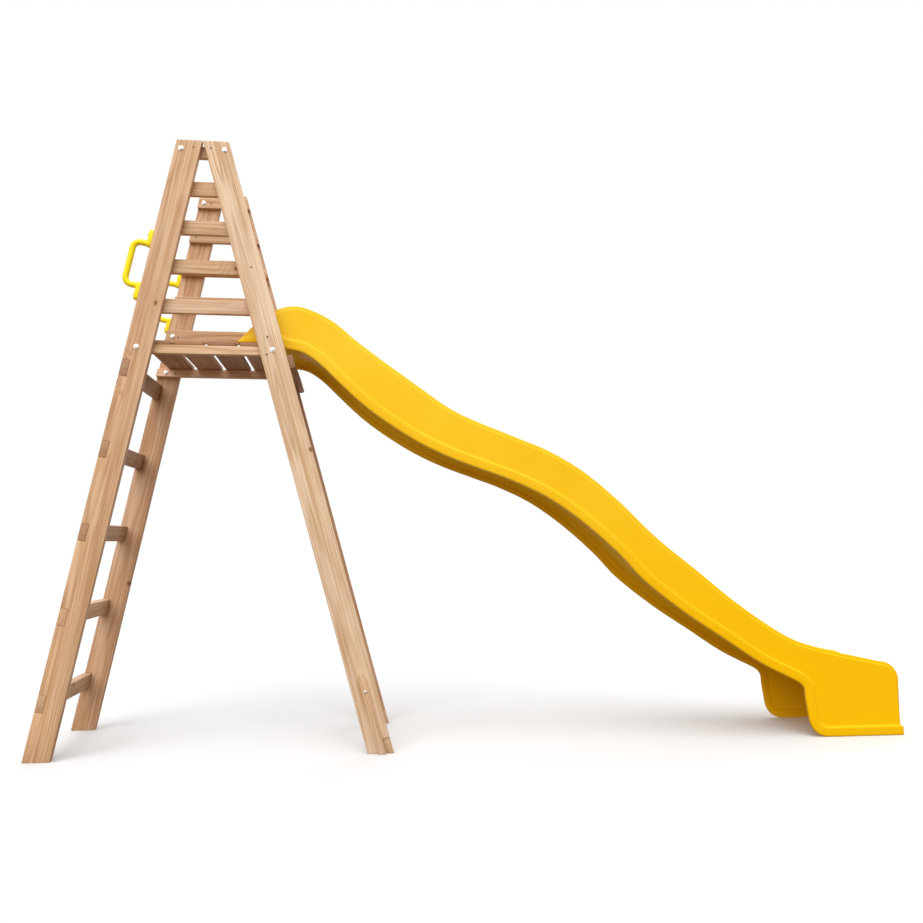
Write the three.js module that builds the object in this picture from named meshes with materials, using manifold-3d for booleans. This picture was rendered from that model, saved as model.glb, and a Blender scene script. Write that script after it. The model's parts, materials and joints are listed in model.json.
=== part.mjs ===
// Garden slide with a timber A-frame tower, ladder and one-piece plastic wave chute.
// Millimetres, +Z up. +X runs from the ladder to the end of the chute, Y = 0 is the middle
// of the tower, and Z = 0 is the ground. "near" is the -Y side and "far" is the +Y side.
import * as THREE from 'three';
import { mergeVertices } from 'three/addons/utils/BufferGeometryUtils.js';
import Module from 'manifold-3d';

const wasm = await Module();
wasm.setup();

// ---------------------------------------------------------------- driving dimensions

const TOWER_HEIGHT = 2224;
const TOWER_WIDTH = 560;            // over the outer faces of the legs
const BOARD_WIDTH = 90;             // leg board
const BOARD_THICKNESS = 28;         // legs, treads and deck rails
const LADDER_LEAN = 0.2039;         // horizontal run per unit of height
const SLIDE_LEAN = 0.2808;
const CROWN_GAP = 1.6;              // between the two legs of a pair at the top
const GAP = 0.3;                    // working clearance between touching pieces

const PLATE_HEIGHT = 44;            // top plates, on the inner faces of the legs
const PLATE_BELOW_TOP = 11;
const LATH_THICKNESS = 22;          // top plates and guard rungs
const RUNG_HEIGHT = 53;
const RUNG_COUNT = 4;
const NEAR_RUNG_TOP = 2078;
const NEAR_RUNG_PITCH = 148;
const FAR_RUNG_TOP = 2060;          // the far guard is set a little lower and closer
const FAR_RUNG_PITCH = 144;
const FAR_PLATE_DROP = 12;

const RAIL_BOTTOM = 1431;
const RAIL_HEIGHT = 33;
const SLAT_COUNT = 4;
const SLAT_WIDTH = 100;
const SLAT_THICKNESS = 15;
const SLAT_PITCH = 116.5;
const FIRST_SLAT_X = -202;

const TREAD_COUNT = 5;
const TREAD_WIDTH = 60;             // measured up the slope of the leg
const FIRST_TREAD_TOP = 230;
const TREAD_PITCH = 293.4;

const BATTEN_WIDTH = 49;
const BATTEN_THICKNESS = 20;
const BATTEN_MIDDLE_Z = 1403;

const STAKE_WIDTH = 26;
const STAKE_THICKNESS = 14;
const STAKE_TOP = 280;
const STAKE_FROM_INNER_EDGE = 36;
const STAKE_BOLT_Z = 219;
const STAKE_TIP_CHAMFER = 9;
const HEEL_WIDTH = 24;              // block let into the outer lower corner of the leg
const HEEL_HEIGHT = 60;
const HEEL_RECESS = 4;

const HANDLE_MIDDLE = 1786;         // up the leg edge from the ground
const HANDLE_SPAN = 160;            // between the tube ends
const HANDLE_STAND_OFF = 62;
const HANDLE_TUBE = 22;             // diameter
const HANDLE_BEND = 26;
const LUG_LENGTH = 46;
const LUG_WIDTH = 25;
const LUG_THICKNESS = 18;

const CHUTE_WIDTH = 400;            // over the hems
const CHUTE_WALL = 14;
const CHUTE_BED = 8;
const HEM_STEP = 5;                 // the hem stands this far out from the wall
const RIM_STEP = 4;                 // and the rim stands this far in
const RIM_DEPTH = 12;
const HEM_DEPTH = 34;
const CHUTE_END_X = 2710;
const FRONT_FACE_X = 2701;
const FOOT_REAR_X = 2322;
const FOOT_RADIUS = 76;
const FRONT_RADIUS = 75;

const BOLT_HEAD = 20;
const BOLT_SHANK = 8;
const SMALL_BOLT_HEAD = 12;
const SMALL_BOLT_SHANK = 5;

const HALF_WIDTH = TOWER_WIDTH / 2;
const INNER_FACE = HALF_WIDTH - BOARD_THICKNESS;
const RAIL_INNER = INNER_FACE - BOARD_THICKNESS;
const LATH_INNER = INNER_FACE - LATH_THICKNESS;
const SIDES = [['near', -1], ['far', 1]];

// ---------------------------------------------------------------- materials

const material = (colour, roughness, metalness = 0) =>
  new THREE.MeshStandardMaterial({ color: colour, roughness, metalness });
const timber = material('#d3a67c', 0.75);
const timberDark = material('#b98a60', 0.78);
const yellowChute = material('#f6bd12', 0.42);
const yellowHandle = material('#fbe02a', 0.38);
const zinc = material('#d9dde2', 0.3, 0.9);

// ---------------------------------------------------------------- solids

function toSolid(geometry) {
  const bare = geometry.clone();
  bare.deleteAttribute('normal');
  bare.deleteAttribute('uv');
  const merged = mergeVertices(bare, 1e-4);
  return new wasm.Manifold(new wasm.Mesh({
    numProp: 3,
    vertProperties: new Float32Array(merged.attributes.position.array),
    triVerts: new Uint32Array(merged.index.array),
  }));
}

function toGeometry(solid) {
  const mesh = solid.getMesh();
  const geometry = new THREE.BufferGeometry();
  geometry.setAttribute('position', new THREE.BufferAttribute(mesh.vertProperties, 3));
  geometry.setIndex(new THREE.BufferAttribute(mesh.triVerts, 1));
  geometry.computeVertexNormals();
  return geometry;
}

// A flat outline of [x, z] points, made into a board between two values of Y.
function board(outline, y0, y1) {
  const shape = new THREE.Shape(outline.map(([x, z]) => new THREE.Vector2(x, z)));
  const geometry = new THREE.ExtrudeGeometry(shape, { depth: y1 - y0, bevelEnabled: false });
  geometry.rotateX(Math.PI / 2);
  geometry.translate(0, y1, 0);
  return toSolid(geometry);
}

// A box turned to lie along a leg: centre [x, z], size across and up the leg.
function leaningBox(x, z, across, along, lean, y0, y1) {
  const geometry = new THREE.BoxGeometry(across, y1 - y0, along);
  geometry.rotateY(Math.atan(lean));
  geometry.translate(x, (y0 + y1) / 2, z);
  return toSolid(geometry);
}

function boreY(x, z, radius, y0, y1) {
  const geometry = new THREE.CylinderGeometry(radius, radius, y1 - y0, 12);
  geometry.translate(x, (y0 + y1) / 2, z);
  return toSolid(geometry);
}

// ---------------------------------------------------------------- tower lines

const run = (lean) => Math.hypot(1, lean);
const ladderInner = (z) => -LADDER_LEAN * (TOWER_HEIGHT - z);
const ladderOuter = (z) => ladderInner(z) - BOARD_WIDTH * run(LADDER_LEAN);
const slideInner = (z) => CROWN_GAP + SLIDE_LEAN * (TOWER_HEIGHT - z);
const slideOuter = (z) => slideInner(z) + BOARD_WIDTH * run(SLIDE_LEAN);

// A point on the ladder leg's outer edge, s up the slope, and the outward direction there.
const ladderSlope = new THREE.Vector2(LADDER_LEAN, 1).normalize();
const ladderOutward = new THREE.Vector2(-ladderSlope.y, ladderSlope.x);
function onLadderEdge(s, outward) {
  return new THREE.Vector2(ladderOuter(0), 0)
    .addScaledVector(ladderSlope, s)
    .addScaledVector(ladderOutward, outward);
}
const slideSlope = new THREE.Vector2(-SLIDE_LEAN, 1).normalize();
const slideOutward = new THREE.Vector2(slideSlope.y, -slideSlope.x);

const part = new THREE.Group();
const centreX = (ladderOuter(0) + CHUTE_END_X) / 2;
part.position.set(-centreX, 0, 0);

function add(name, solid, look) {
  const mesh = new THREE.Mesh(toGeometry(solid), look);
  mesh.name = name;
  part.add(mesh);
}

// The Y range of a layer on one side of the tower, from its outer to its inner face.
const layer = (side, outer, inner) => (side < 0 ? [-outer, -inner] : [inner, outer]);

// ---------------------------------------------------------------- bolts

// A bolt along Y through a side of the tower: domed head outside, round nut inside.
function bolt(head, shank, grip) {
  const nut = 0.8 * head;
  const rise = 0.3 * head;
  const profile = [new THREE.Vector2(0, -rise)];
  for (let i = 1; i <= 3; i += 1) {
    const angle = (i / 3) * (Math.PI / 2);
    profile.push(new THREE.Vector2((head / 2) * Math.sin(angle), -rise * Math.cos(angle)));
  }
  const end = grip + 2 * GAP;
  profile.push(new THREE.Vector2(shank / 2, 0), new THREE.Vector2(shank / 2, end));
  profile.push(new THREE.Vector2(nut / 2, end), new THREE.Vector2(nut / 2, end + 0.35 * head));
  profile.push(new THREE.Vector2(0, end + 0.35 * head));
  return new THREE.LatheGeometry(profile, 12);
}

const boltHoles = { near: [], far: [] };      // [x, z, radius] through every layer of a side

function addBolt(name, side, x, z, head, shank, grip, outerFace = HALF_WIDTH) {
  const geometry = bolt(head, shank, grip);
  if (side > 0) geometry.rotateZ(Math.PI);
  geometry.translate(x, side * (outerFace + GAP), z);
  const mesh = new THREE.Mesh(geometry, zinc);
  mesh.name = name;
  part.add(mesh);
}

function drill(solid, side) {
  let drilled = solid;
  for (const [x, z, radius] of boltHoles[side < 0 ? 'near' : 'far']) {
    drilled = drilled.subtract(boreY(x, z, radius, -HALF_WIDTH - 60, HALF_WIDTH + 60));
  }
  return drilled;
}

const plateMiddle = (label) =>
  TOWER_HEIGHT - PLATE_BELOW_TOP - PLATE_HEIGHT / 2 - (label === 'far' ? FAR_PLATE_DROP : 0);
const railMiddle = RAIL_BOTTOM + RAIL_HEIGHT / 2;
const rungTop = (label, index) =>
  (label === 'near' ? NEAR_RUNG_TOP - NEAR_RUNG_PITCH * index : FAR_RUNG_TOP - FAR_RUNG_PITCH * index);
const stakeMiddle = (z) =>
  slideInner(z) + (STAKE_FROM_INNER_EDGE + STAKE_WIDTH / 2) * run(SLIDE_LEAN);

for (const [label, side] of SIDES) {
  const plateZ = plateMiddle(label);
  const lowRungZ = rungTop(label, RUNG_COUNT - 1) - RUNG_HEIGHT / 2;
  const spots = [
    [`bolt_top_ladder_${label}`, ladderOuter(plateZ) + 23, plateZ, LATH_THICKNESS],
    [`bolt_top_slide_${label}`, slideOuter(plateZ) - 24, plateZ, LATH_THICKNESS],
    [`bolt_deck_ladder_${label}`, ladderOuter(railMiddle) + 39, railMiddle, BOARD_THICKNESS],
    [`bolt_deck_slide_${label}`, slideOuter(railMiddle) - 45, railMiddle, BOARD_THICKNESS],
  ];
  if (label === 'far') {
    spots.push([`bolt_rung_ladder_${label}`, ladderOuter(lowRungZ) + 29, lowRungZ, LATH_THICKNESS]);
    spots.push([`bolt_rung_slide_${label}`, slideOuter(lowRungZ) - 30, lowRungZ, LATH_THICKNESS]);
  }
  for (const [name, x, z, inner] of spots) {
    boltHoles[label].push([x, z, BOLT_SHANK / 2 + GAP]);
    addBolt(name, side, x, z, BOLT_HEAD, BOLT_SHANK, BOARD_THICKNESS + GAP + inner);
  }
  const stakeX = stakeMiddle(STAKE_BOLT_Z);
  boltHoles[label].push([stakeX, STAKE_BOLT_Z, SMALL_BOLT_SHANK / 2 + GAP]);
  addBolt(`bolt_stake_${label}`, side, stakeX, STAKE_BOLT_Z, SMALL_BOLT_HEAD, SMALL_BOLT_SHANK,
    STAKE_THICKNESS + GAP + BOARD_THICKNESS, HALF_WIDTH + GAP + STAKE_THICKNESS);
}

// ---------------------------------------------------------------- legs and treads

const treadMiddle = (index) => {
  const top = FIRST_TREAD_TOP + TREAD_PITCH * index;
  return (top - TREAD_WIDTH / 2) * run(LADDER_LEAN);
};

function tread(index, slack, y0, y1) {
  const centre = onLadderEdge(treadMiddle(index), -BOARD_THICKNESS / 2);
  return leaningBox(centre.x, centre.y, BOARD_THICKNESS + 2 * slack, TREAD_WIDTH + 2 * slack,
    LADDER_LEAN, y0, y1);
}

const handleScrewSpots = [-1, 1].map((end) =>
  HANDLE_MIDDLE + end * (HANDLE_SPAN / 2 + HANDLE_TUBE / 2 + LUG_LENGTH / 2));

// A cylinder square to the ladder leg's outer edge, from one depth to another.
function boreIntoEdge(s, y, radius, from, to) {
  const geometry = new THREE.CylinderGeometry(radius, radius, to - from, 10);
  geometry.rotateZ(Math.atan2(ladderOutward.y, ladderOutward.x) - Math.PI / 2);
  geometry.rotateX(Math.PI / 2);
  const centre = onLadderEdge(s, (from + to) / 2);
  geometry.translate(centre.x, y, centre.y);
  return toSolid(geometry);
}

for (const [label, side] of SIDES) {
  const [y0, y1] = layer(side, HALF_WIDTH, INNER_FACE);
  let ladderLeg = board([
    [ladderOuter(0), 0], [ladderInner(0), 0],
    [ladderInner(TOWER_HEIGHT), TOWER_HEIGHT], [ladderOuter(TOWER_HEIGHT), TOWER_HEIGHT],
  ], y0, y1);
  for (let index = 0; index < TREAD_COUNT; index += 1) {
    ladderLeg = ladderLeg.subtract(tread(index, GAP, -HALF_WIDTH - 5, HALF_WIDTH + 5));
  }
  for (const s of handleScrewSpots) {
    const y = side * (HALF_WIDTH - BOARD_THICKNESS / 2);
    ladderLeg = ladderLeg.subtract(boreIntoEdge(s, y, SMALL_BOLT_SHANK / 2 + GAP, -32, 5));
  }
  add(`leg_ladder_${label}`, drill(ladderLeg, side), timber);

  const heelCut = slideHeel(GAP, GAP, -HALF_WIDTH - 5, HALF_WIDTH + 5);
  const slideLeg = board([
    [slideInner(0), 0], [slideOuter(0), 0],
    [slideOuter(TOWER_HEIGHT), TOWER_HEIGHT], [slideInner(TOWER_HEIGHT), TOWER_HEIGHT],
  ], y0, y1).subtract(heelCut);
  add(`leg_slide_${label}`, drill(slideLeg, side), timber);
}

// The block in the notch at the outer lower corner of a slide leg, cut off level with the ground.
function slideHeel(slack, topSlack, y0, y1) {
  const corner = new THREE.Vector2(slideOuter(0), 0);
  const shoulder = corner.clone().addScaledVector(slideSlope, HEEL_HEIGHT + topSlack);
  const inner = shoulder.clone().addScaledVector(slideOutward, -HEEL_WIDTH - slack);
  const innerGroundX = inner.x - (inner.y * slideSlope.x) / slideSlope.y;
  const clear = slack > 0 ? 5 : 0;
  return board([
    [innerGroundX + (clear * SLIDE_LEAN), -clear],
    [corner.x + clear * (1 + SLIDE_LEAN), -clear],
    [shoulder.x + clear * slideOutward.x, shoulder.y + clear * slideOutward.y],
    [inner.x, inner.y],
  ], y0, y1);
}

for (let index = 0; index < TREAD_COUNT; index += 1) {
  add(`tread_${index + 1}`, tread(index, 0, -HALF_WIDTH, HALF_WIDTH), timberDark);
}

// ---------------------------------------------------------------- plates, rungs and rails

// A level board across a pair of legs, its ends cut flush with their outer edges.
function levelBoard(bottom, height, side, inner) {
  const [y0, y1] = layer(side, INNER_FACE - GAP, inner);
  const top = bottom + height;
  return drill(board([
    [ladderOuter(bottom), bottom], [slideOuter(bottom), bottom],
    [slideOuter(top), top], [ladderOuter(top), top],
  ], y0, y1), side);
}

for (const [label, side] of SIDES) {
  const plateBottom = plateMiddle(label) - PLATE_HEIGHT / 2;
  add(`top_plate_${label}`, levelBoard(plateBottom, PLATE_HEIGHT, side, LATH_INNER - GAP), timber);
  for (let index = 0; index < RUNG_COUNT; index += 1) {
    const bottom = rungTop(label, index) - RUNG_HEIGHT;
    add(`guard_rung_${index + 1}_${label}`,
      levelBoard(bottom, RUNG_HEIGHT, side, LATH_INNER - GAP), timber);
  }
  add(`deck_rail_${label}`, levelBoard(RAIL_BOTTOM, RAIL_HEIGHT, side, RAIL_INNER - GAP), timber);
}

const slatBottom = RAIL_BOTTOM + RAIL_HEIGHT + GAP;
for (let index = 0; index < SLAT_COUNT; index += 1) {
  const x = FIRST_SLAT_X + SLAT_PITCH * index;
  const slatEnd = INNER_FACE - GAP;
  add(`deck_slat_${index + 1}`, board([
    [x, slatBottom], [x + SLAT_WIDTH, slatBottom],
    [x + SLAT_WIDTH, slatBottom + SLAT_THICKNESS], [x, slatBottom + SLAT_THICKNESS],
  ], -slatEnd, slatEnd), timberDark);
}

const battenOffset = BATTEN_THICKNESS / 2 + GAP;
add('chute_batten', leaningBox(
  slideOuter(BATTEN_MIDDLE_Z) + battenOffset * slideOutward.x,
  BATTEN_MIDDLE_Z + battenOffset * slideOutward.y,
  BATTEN_THICKNESS, BATTEN_WIDTH, -SLIDE_LEAN, -HALF_WIDTH, HALF_WIDTH), timberDark);

// ---------------------------------------------------------------- ground stakes

for (const [label, side] of SIDES) {
  const along = (z, across) => slideInner(z) + across * run(SLIDE_LEAN);
  const left = STAKE_FROM_INNER_EDGE;
  const right = STAKE_FROM_INNER_EDGE + STAKE_WIDTH;
  const shoulderZ = STAKE_TOP - 2 * STAKE_TIP_CHAMFER;
  const [y0, y1] = layer(side, HALF_WIDTH + GAP + STAKE_THICKNESS, HALF_WIDTH + GAP);
  add(`ground_stake_${label}`, drill(board([
    [along(0, left), 0], [along(0, right), 0], [along(shoulderZ, right), shoulderZ],
    [along(STAKE_TOP, right - STAKE_TIP_CHAMFER), STAKE_TOP],
    [along(STAKE_TOP, left + STAKE_TIP_CHAMFER), STAKE_TOP], [along(shoulderZ, left), shoulderZ],
  ], y0, y1), side), timber);
  const [h0, h1] = layer(side, HALF_WIDTH - HEEL_RECESS, INNER_FACE);
  add(`stake_heel_${label}`, slideHeel(0, 0, h0, h1), timberDark);
}

// ---------------------------------------------------------------- grab handles

class HandlePath extends THREE.Curve {
  // Out from one tube end, round a bend, along the grip, and back in at the other end.
  constructor(y) {
    super();
    const turn = Math.PI / 2;
    const reach = HANDLE_STAND_OFF - HANDLE_BEND;
    const grip = HANDLE_SPAN - 2 * HANDLE_BEND;
    this.pieces = [reach, turn * HANDLE_BEND, grip, turn * HANDLE_BEND, reach];
    this.length = this.pieces.reduce((sum, piece) => sum + piece, 0);
    this.y = y;
    this.half = HANDLE_SPAN / 2;
    this.reach = reach;
    this.grip = grip;
  }

  getPoint(t, target = new THREE.Vector3()) {
    let rest = t * this.length;
    const mirrored = rest > this.length / 2;
    if (mirrored) rest = this.length - rest;
    let outward = Math.min(rest, this.reach) + GAP;
    let s = this.half;
    if (rest > this.reach) {
      const angle = Math.min((rest - this.reach) / HANDLE_BEND, Math.PI / 2);
      outward += HANDLE_BEND * Math.sin(angle);
      s -= HANDLE_BEND * (1 - Math.cos(angle));
      s -= Math.max(0, rest - this.reach - this.pieces[1]);
    }
    const point = onLadderEdge(HANDLE_MIDDLE + (mirrored ? -s : s), outward);
    return target.set(point.x, this.y, point.y);
  }
}

function handleLug(end, y) {
  const middle = HANDLE_MIDDLE + end * (HANDLE_SPAN / 2 + LUG_LENGTH / 2 - 3);
  const size = LUG_LENGTH + HANDLE_TUBE;
  const radius = LUG_WIDTH / 2;
  const shape = new THREE.Shape();
  shape.absarc(0, size / 2 - radius, radius, 0, Math.PI, false);
  shape.absarc(0, -size / 2 + radius, radius, Math.PI, 2 * Math.PI, false);
  const geometry = new THREE.ExtrudeGeometry(shape, {
    depth: LUG_THICKNESS - 4, curveSegments: 4,
    bevelEnabled: true, bevelThickness: 2, bevelSize: 2, bevelOffset: -2, bevelSegments: 1,
  });
  geometry.translate(0, 0, 2);
  // local x becomes -Y, local y runs up the leg, and local z points outward
  const up = new THREE.Vector3(ladderSlope.x, 0, ladderSlope.y);
  const out = new THREE.Vector3(ladderOutward.x, 0, ladderOutward.y);
  geometry.applyMatrix4(new THREE.Matrix4().makeBasis(new THREE.Vector3(0, -1, 0), up, out));
  const foot = onLadderEdge(middle, GAP);
  geometry.translate(foot.x, y, foot.y);
  return toSolid(geometry);
}

for (const [label, side] of SIDES) {
  const y = side * (HALF_WIDTH - BOARD_THICKNESS / 2);
  const ring = new THREE.Shape().absarc(0, 0, HANDLE_TUBE / 2, 0, 2 * Math.PI, false);
  const tube = new THREE.ExtrudeGeometry(ring, {
    steps: 26, curveSegments: 6, extrudePath: new HandlePath(y),
  });
  let handle = toSolid(tube);
  for (const end of [-1, 1]) handle = handle.add(handleLug(end, y));
  for (const s of handleScrewSpots) {
    handle = handle.subtract(boreIntoEdge(s, y, SMALL_BOLT_SHANK / 2 + GAP, -5, LUG_THICKNESS + 5));
  }
  add(`grab_handle_${label}`, handle, yellowHandle);

  handleScrewSpots.forEach((s, index) => {
    const headBase = LUG_THICKNESS + 2 * GAP;
    const profile = [[0, -30], [SMALL_BOLT_SHANK / 2, -30], [SMALL_BOLT_SHANK / 2, headBase],
      [SMALL_BOLT_HEAD / 2, headBase], [SMALL_BOLT_HEAD / 2, headBase + 1.5],
      [SMALL_BOLT_HEAD / 4, headBase + 4], [0, headBase + 4.5]];
    const screw = new THREE.LatheGeometry(profile.map(([r, h]) => new THREE.Vector2(r, h)), 10);
    const out = new THREE.Vector3(ladderOutward.x, 0, ladderOutward.y);
    const up = new THREE.Vector3(ladderSlope.x, 0, ladderSlope.y);
    screw.applyMatrix4(new THREE.Matrix4().makeBasis(up, out, new THREE.Vector3(0, -1, 0)));
    const foot = onLadderEdge(s, 0);
    screw.translate(foot.x, y, foot.y);
    const mesh = new THREE.Mesh(screw, zinc);
    mesh.name = `handle_screw_${index === 0 ? 'lower' : 'upper'}_${label}`;
    part.add(mesh);
  });
}

// ---------------------------------------------------------------- wave chute

const vectors = (points) => points.map(([x, z]) => new THREE.Vector2(x, z));
const smooth = (points, count) => new THREE.SplineCurve(vectors(points)).getSpacedPoints(count);

// Side wall, upper edge: from the entry lip on the deck, over the crest and down two waves.
const RIM_LINE = [
  [130, 1494], [184, 1553], [262, 1615], [339, 1636], [416, 1616], [494, 1573], [588, 1496],
  [808, 1338], [960, 1239], [1172, 1153], [1307, 1099], [1443, 1021], [1581, 909],
  [1724, 772], [1888, 641], [2054, 509], [2239, 388], [2380, 337], [2538, 302], [2622, 284],
];
// Side wall, lower edge, from the back of the foot up to the deck.
const HEM_LINE = [
  [2272, 216], [2134, 284], [1995, 374], [1830, 482], [1678, 600], [1578, 704], [1442, 822],
  [1307, 915], [1172, 979], [1064, 1018], [934, 1065], [809, 1123], [684, 1200], [590, 1270],
  [496, 1357], [434, 1416], [372, 1457], [305, 1471], [258, 1490],
];
// Riding surface.
const BED_LINE = [
  [133, 1495], [220, 1500], [310, 1504], [400, 1482], [500, 1415], [684, 1257], [934, 1114],
  [1172, 1028], [1307, 969], [1442, 881], [1578, 769], [1700, 645], [1830, 540], [1995, 430],
  [2134, 343], [2273, 272], [2410, 226], [2560, 202], [FRONT_FACE_X - CHUTE_WALL, 196],
];

function arcPoints(x, z, radius, from, to, count) {
  const points = [];
  for (let i = 0; i <= count; i += 1) {
    const angle = from + ((to - from) * i) / count;
    points.push(new THREE.Vector2(x + radius * Math.cos(angle), z + radius * Math.sin(angle)));
  }
  return points;
}

const rimEdge = [
  ...smooth(RIM_LINE, 40),
  ...arcPoints(FRONT_FACE_X - FRONT_RADIUS, 209, FRONT_RADIUS, Math.PI / 2 - 0.2, 0, 6),
];
const frontEdge = vectors([[FRONT_FACE_X, 46], [CHUTE_END_X, 34], [CHUTE_END_X, 0]]);
const footEdge = [
  ...arcPoints(FOOT_REAR_X + FOOT_RADIUS, FOOT_RADIUS, FOOT_RADIUS, -Math.PI / 2, -Math.PI - 0.05, 7),
  ...arcPoints(2268, 170, 42, -0.3, Math.PI / 2 - 0.45, 4),
];
const hemEdge = [...footEdge, ...smooth(HEM_LINE, 38).slice(1), new THREE.Vector2(132, 1490)];
const pairs = (points) => points.map((p) => [p.x, p.y]);

// A line moved sideways by a distance, to the left of its direction of travel.
function shifted(points, distance) {
  return points.map((point, i) => {
    const before = points[Math.max(i - 1, 0)];
    const after = points[Math.min(i + 1, points.length - 1)];
    const tangent = after.clone().sub(before).normalize();
    return new THREE.Vector2(point.x - tangent.y * distance, point.y + tangent.x * distance);
  });
}

const band = (line, distance) => pairs([...line, ...shifted(line, distance).reverse()]);

const half = CHUTE_WIDTH / 2;
const wallOuter = half - HEM_STEP;
const wallInner = wallOuter - CHUTE_WALL;
const bedEdge = smooth(BED_LINE, 36);
let chute = board(band(bedEdge, -CHUTE_BED), -wallInner - 2, wallInner + 2);
const frontPanel = [[FRONT_FACE_X - CHUTE_WALL, 0], [FRONT_FACE_X, 0],
  [FRONT_FACE_X, 186], [FRONT_FACE_X - 10, 196], [FRONT_FACE_X - CHUTE_WALL, 196]];
chute = chute.add(board(frontPanel, -wallInner - 2, wallInner + 2));
const frontHem = [[FRONT_FACE_X - 4, 0], [CHUTE_END_X, 0], [CHUTE_END_X, 34], [FRONT_FACE_X - 4, 46]];
chute = chute.add(board(frontHem, -half, half));
for (const [, side] of SIDES) {
  const [w0, w1] = layer(side, wallOuter, wallInner);
  chute = chute.add(board(pairs([...rimEdge, ...frontEdge, ...hemEdge]), w0, w1));
  const [r0, r1] = layer(side, half + 1, wallOuter - RIM_STEP);
  chute = chute.subtract(board(band(shifted(rimEdge, 2), -RIM_DEPTH - 2), r0, r1));
  const [h0, h1] = layer(side, half, wallOuter - 2);
  const hemWithFloor = [new THREE.Vector2(CHUTE_END_X, 0), ...hemEdge];
  chute = chute.add(board(band(hemWithFloor, -HEM_DEPTH), h0, h1));
}
add('wave_chute', chute, yellowChute);

export default part;
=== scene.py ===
"""The looks of the garden slide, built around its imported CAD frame.

Metres, +Z up, -Y is the near side. Lengths named in millimetres are scaled by MM.
"""
import json
import math
import random

import bmesh
import bpy
from mathutils import Matrix, Vector

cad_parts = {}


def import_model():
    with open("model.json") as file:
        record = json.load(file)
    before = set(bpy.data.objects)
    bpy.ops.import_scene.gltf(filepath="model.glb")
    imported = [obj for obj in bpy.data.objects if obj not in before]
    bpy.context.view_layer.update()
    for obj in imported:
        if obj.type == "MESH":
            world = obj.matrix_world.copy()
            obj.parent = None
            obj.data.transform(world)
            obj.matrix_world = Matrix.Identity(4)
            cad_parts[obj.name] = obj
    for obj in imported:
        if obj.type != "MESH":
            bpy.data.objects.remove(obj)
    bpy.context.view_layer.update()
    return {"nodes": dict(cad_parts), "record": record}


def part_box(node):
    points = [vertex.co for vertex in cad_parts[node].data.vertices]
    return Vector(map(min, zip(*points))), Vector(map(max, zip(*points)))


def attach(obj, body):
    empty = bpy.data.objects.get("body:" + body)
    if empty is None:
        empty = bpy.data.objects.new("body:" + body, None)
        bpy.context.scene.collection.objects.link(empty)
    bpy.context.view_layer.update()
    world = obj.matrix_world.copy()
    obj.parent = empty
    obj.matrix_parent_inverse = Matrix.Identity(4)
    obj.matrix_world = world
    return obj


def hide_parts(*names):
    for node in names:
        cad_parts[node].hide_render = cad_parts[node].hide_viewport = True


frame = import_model()

MM = 0.001
BODY = "root"
SIDES = (("near", -1), ("far", 1))

# ---------------------------------------------------------------- shared dimensions, millimetres

LADDER_LEAN = 0.2039
SLIDE_LEAN = 0.2808
BOARD_THICKNESS = 28
BATTEN_THICKNESS = 20
ARRIS = 2.2                       # rounding of the board edges

HANDLE_MIDDLE = 1786
HANDLE_SPAN = 160
HANDLE_STAND_OFF = 62
HANDLE_TUBE = 22
HANDLE_BEND = 26
LUG_LENGTH = 46
LUG_WIDTH = 25
LUG_THICKNESS = 18
LUG_CROWN = (                     # the lug's rounded profile: how far it draws in at each height
    (0.4, 0.4), (0, 1.2), (0, 9.0), (0.6, 12.2), (2.2, 15.2), (4.6, 17.2), (7.4, 18.0),
)
TUBE_START = 0.4                  # the tube's ends stand this far off the leg

CHUTE_END_X = 2710                # tower coordinates: X = 0 under the crown of the ladder legs
FRONT_FACE_X = 2701
CHUTE_BED = 8
CHUTE_WALL = 14
HEM_OUTER = 200                   # half widths of the chute
WALL_OUTER = 193.5
RIM_OUTER = 189.5
WALL_INNER = 181
RIM_LINE = [
    (130, 1494), (184, 1553), (262, 1615), (339, 1636), (416, 1616), (494, 1573), (588, 1496),
    (808, 1338), (960, 1239), (1172, 1153), (1307, 1099), (1443, 1021), (1581, 909),
    (1724, 772), (1888, 641), (2054, 509), (2239, 388), (2380, 337), (2538, 302), (2622, 284),
]
HEM_LINE = [
    (132, 1490), (258, 1490), (305, 1471), (372, 1457), (434, 1416), (496, 1357), (590, 1270),
    (684, 1200), (809, 1123), (934, 1065), (1064, 1018), (1172, 979), (1307, 915), (1442, 822),
    (1578, 704), (1678, 600), (1830, 482), (1995, 374), (2134, 284), (2272, 216),
]
BED_LINE = [
    (133, 1495), (220, 1500), (310, 1504), (400, 1482), (500, 1415), (684, 1257), (934, 1114),
    (1172, 1028), (1307, 969), (1442, 881), (1578, 769), (1700, 645), (1830, 540), (1995, 430),
    (2134, 343), (2273, 272), (2410, 226), (2560, 202), (2689, 196),
]


# ---------------------------------------------------------------- small helpers

def mesh_object(name, bm, material, smooth_angle=35.0):
    """A finished mesh object from a bmesh, with smooth shading up to an angle."""
    bmesh.ops.recalc_face_normals(bm, faces=bm.faces[:])
    mesh = bpy.data.meshes.new(name)
    bm.to_mesh(mesh)
    bm.free()
    for polygon in mesh.polygons:
        polygon.use_smooth = True
    mesh.set_sharp_from_angle(angle=math.radians(smooth_angle))
    mesh.materials.append(material)
    obj = bpy.data.objects.new(name, mesh)
    bpy.context.scene.collection.objects.link(obj)
    return obj


def finish_piece(obj, slot, *nodes):
    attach(obj, BODY)
    if nodes:
        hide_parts(*nodes)


def bridge(bm, rows):
    """Quads between neighbouring closed rows of vertices."""
    for lower, upper in zip(rows, rows[1:]):
        count = len(lower)
        for i in range(count):
            j = (i + 1) % count
            corners = []
            for vertex in (lower[i], lower[j], upper[j], upper[i]):
                if vertex not in corners:
                    corners.append(vertex)
            if len(corners) > 2:
                bm.faces.new(corners)


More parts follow.
